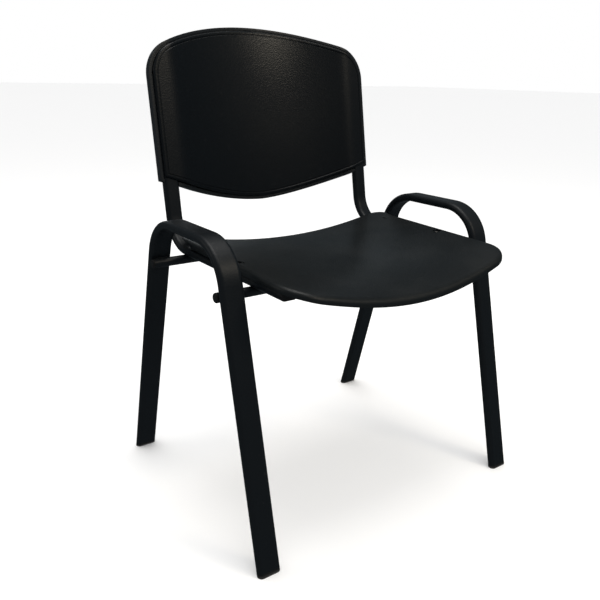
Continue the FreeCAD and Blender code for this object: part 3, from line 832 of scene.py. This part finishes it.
def place_pair(screw, place, turn, material, node):
    """Put the screw at `place` on the right and its twin on the left, as one piece."""
    bm = bmesh.new()
    for side in (-1, 1):
        known = len(bm.verts)
        bm.from_mesh(screw.data)
        bm.verts.ensure_lookup_table()
        spot = Matrix.Translation((side * place.x, place.y, place.z)) @ turn
        bmesh.ops.transform(bm, matrix=spot, verts=bm.verts[known:])
    pair = object_from(bm, screw.name + "_pair")
    bpy.data.objects.remove(screw)
    finish_piece(pair, material, "screw_steel", node)


level = Matrix.Identity(4)
upside_down = Matrix.Rotation(math.pi, 4, "X")
backwards = Matrix.Rotation(-back_rake - math.pi / 2, 4, "X")
place_pair(pan_screw("seat_screw", 5.5 * MM, 3.2 * MM, 3.0 * MM, 9.0 * MM, 2.9 * MM),
           Vector((run_x, screw_y, recess_floor)), level, screw_black, "seat_screws")
bolt_length = bolt_high.z - (run_top - 15.0 * MM)
place_pair(pan_screw("seat_bolt", 5.5 * MM, 3.2 * MM, 3.0 * MM, bolt_length, 2.9 * MM),
           Vector((run_x, bolt_y, run_top - 15.0 * MM)), upside_down, screw_black, "seat_bolts")
back_screw_place = lean_back @ Vector((run_x, back_screw_seat, back_screw_up))
place_pair(pan_screw("back_screw", 4.5 * MM, 2.6 * MM, 2.5 * MM, 7.0 * MM, 2.4 * MM),
           back_screw_place, backwards, screw_black, "back_screws")

# %% [markdown]
# ## Feet and plugs
# These small mouldings have the right form already, but every real one has its edges broken by the
# mould. A copy of the CAD mesh is loose triangles, so its corners are welded and its flat faces
# joined again before the sharp edges are bevelled.

# %% Softened copies of the small mouldings


def softened_copy(node, width, material, slot_name):
    bm = bmesh.new()
    bm.from_mesh(frame["nodes"][node].data)
    bmesh.ops.remove_doubles(bm, verts=bm.verts[:], dist=1e-6)
    bmesh.ops.dissolve_limit(bm, angle_limit=math.radians(0.5), verts=bm.verts[:],
                             edges=bm.edges[:])
    sharp = [edge for edge in bm.edges
             if edge.is_manifold and edge.calc_face_angle() > sharp_edge]
    bmesh.ops.bevel(bm, geom=sharp, offset=width, segments=2, profile=0.5, affect="EDGES",
                    material=-1, clamp_overlap=True)
    piece = object_from(bm, "soft_" + node)
    finish_piece(piece, material, slot_name, node)


for side in ("left", "right"):
    for end in ("front", "rear"):
        softened_copy(f"foot_glide_{end}_{side}", 0.9 * MM, foot_plastic, "foot_plastic")
    softened_copy(f"frame_plug_front_{side}", 0.4 * MM, end_plug_plastic, "plug_plastic")

# %% [markdown]
# ## Welds
# Each cross rail is welded to both hoops and both seat runs. A weld is a row of overlapping drops
# of metal, one for each pulse of the torch. They are small flattened balls in the crease on both
# sides of the line of contact, each a little out of line, because a hand laid them.

# %% Weld beads


def weld_row(bm, middle, along, half_length, radius):
    """A row of overlapping drops through `middle`."""
    pitch = radius * 0.8
    count = int(half_length / pitch)
    for step in range(-count, count + 1):
        jitter = Vector([random.uniform(-0.12, 0.12) * radius for _ in range(3)])
        spot = Matrix.Translation(middle + along * (step * pitch) + jitter)
        shape = Matrix.Diagonal((0.8, 1.0, 1.0, 1.0))
        bmesh.ops.create_icosphere(bm, subdivisions=2, radius=radius, matrix=spot @ shape)


def welds_of_rail(name, plug, lean):
    """All the welds of one cross rail; `lean` is the angle of the leg it touches."""
    plug_low, plug_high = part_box(plug)
    axis_y = (plug_low.y + plug_high.y) / 2
    axis_z = (plug_low.z + plug_high.z) / 2
    rail_radius = (plug_high.z - plug_low.z) / 2
    leg_low, leg_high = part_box("leg_hoop_right")
    leg_x = (leg_low.x + leg_high.x) / 2
    up = Vector((0.0, 0.0, 1.0))
    to_leg = Vector((0.0, math.sin(lean), math.cos(lean)))
    bm = bmesh.new()
    for x, contact, half_length in ((leg_x, to_leg, 12.0 * MM), (run_x, up, 7.0 * MM)):
        across = Vector((0.0, contact.z, -contact.y))
        for side in (-1, 1):
            for crease in (-1, 1):
                middle = Vector((side * x, axis_y, axis_z)) + contact * (rail_radius - 0.9 * MM)
                weld_row(bm, middle + across * (crease * 4.4 * MM), Vector((1.0, 0.0, 0.0)),
                         half_length, 1.9 * MM)
    finish_piece(object_from(bm, name), tube_coat, "black_tube")


welds_of_rail("weld_beads_front", "rail_plug_front_right", math.radians(-76.4))
welds_of_rail("weld_beads_rear", "rail_plug_rear_right", math.radians(75.0))

# %% [markdown]
# ## The studio
# A pale floor carries on into a pale world. White walls would mirror in black plastic and turn it
# grey, so a photographer hangs black flags round the chair. Here the world itself is dim in
# reflections only. Soft lamps do the modelling: one overhead for the lip of the seat, one in front
# on the right for the hollow of the back, one behind on the right that glances off the seat, one
# behind on the left for the bright edges, and one straight behind that models the rear of the tray.

# %% Floor, world and lamps
floor_reach = 40.0
floor_mesh = bpy.data.meshes.new("studio_floor")
bm = bmesh.new()
bmesh.ops.create_grid(bm, x_segments=1, y_segments=1, size=floor_reach)
bm.to_mesh(floor_mesh)
bm.free()
floor = bpy.data.objects.new("studio_floor", floor_mesh)
bpy.context.scene.collection.objects.link(floor)
floor_paint = Finish("studio_floor_paint")
floor_paint.set(Base_Color=(0.97, 0.97, 0.97, 1.0), Roughness=0.9, Specular_IOR_Level=0.1)
dress(floor, floor_paint.material)

world = bpy.data.worlds.new("studio_world")
bpy.context.scene.world = world
world.use_nodes = True
studio = Wiring(world.node_tree)
paper = studio.node("ShaderNodeBackground", {}, {"Color": (1.0, 1.0, 1.0, 1.0), "Strength": 1.0})
flags = studio.node("ShaderNodeBackground", {}, {"Color": (0.75, 0.90, 1.0, 1.0),
                                                 "Strength": 0.11})
mirrored = studio.node("ShaderNodeLightPath", output="Is Glossy Ray")
either = studio.node("ShaderNodeMixShader", {}, {0: mirrored, 1: paper, 2: flags})
studio.feed(studio.nodes["World Output"], {"Surface": either})
floor.visible_glossy = False
floor.visible_diffuse = False
bpy.context.scene.view_settings.view_transform = "Standard"


def soft_lamp(name, place, aim, wide, high, power, tint):
    """Oblong area lamp at `place`, pointing at `aim`."""
    data = bpy.data.lights.new(name, "AREA")
    data.shape = "RECTANGLE"
    data.size = wide
    data.size_y = high
    data.energy = power
    data.color = tint
    lamp = bpy.data.objects.new(name, data)
    lamp.location = place
    lamp.rotation_euler = (Vector(aim) - Vector(place)).to_track_quat("-Z", "Y").to_euler()
    bpy.context.scene.collection.objects.link(lamp)


chair_middle = (0.0, 0.0, 0.45)
back_middle = (0.0, 0.2, 0.7)
soft_lamp("overhead", (0.05, 0.0, 2.9), chair_middle, 1.6, 1.6, 31.0, (1.0, 0.98, 0.95))
soft_lamp("front_right", (1.0, -2.0, 2.3), back_middle, 0.7, 0.3, 14.0, (1.0, 0.90, 0.74))
soft_lamp("rear_right", (2.2, 2.0, 1.4), chair_middle, 0.9, 0.9, 0.3, (0.90, 0.97, 1.0))
soft_lamp("rear_left", (-2.4, 1.2, 1.6), back_middle, 0.7, 0.7, 4.0, (1.0, 0.95, 0.86))
soft_lamp("behind", (0.8, 3.0, 1.0), back_middle, 1.4, 0.8, 4.0, (0.95, 0.98, 1.0))

# %% [markdown]
# ## The camera
# The camera stands in front of the chair and to its left, a little above the backrest, and leans
# over by one degree, as a hand-held camera does.

# %% Camera
camera_place = Vector((-0.7451, -0.9622, 0.7351))
camera_azimuth = math.radians(-36.16)
camera_elevation = math.radians(18.54)
camera_roll = math.radians(1.21)
camera_data = bpy.data.cameras.new("camera")
camera_data.lens = 40.31
camera_data.sensor_width = 36.0
camera = bpy.data.objects.new("camera", camera_data)
bpy.context.scene.collection.objects.link(camera)
turn = Matrix.Rotation(camera_azimuth, 4, "Z")
tip = Matrix.Rotation(math.radians(90) - camera_elevation, 4, "X")
lean = Matrix.Rotation(camera_roll, 4, "Z")
camera.matrix_world = Matrix.Translation(camera_place) @ turn @ tip @ lean
bpy.context.scene.camera = camera
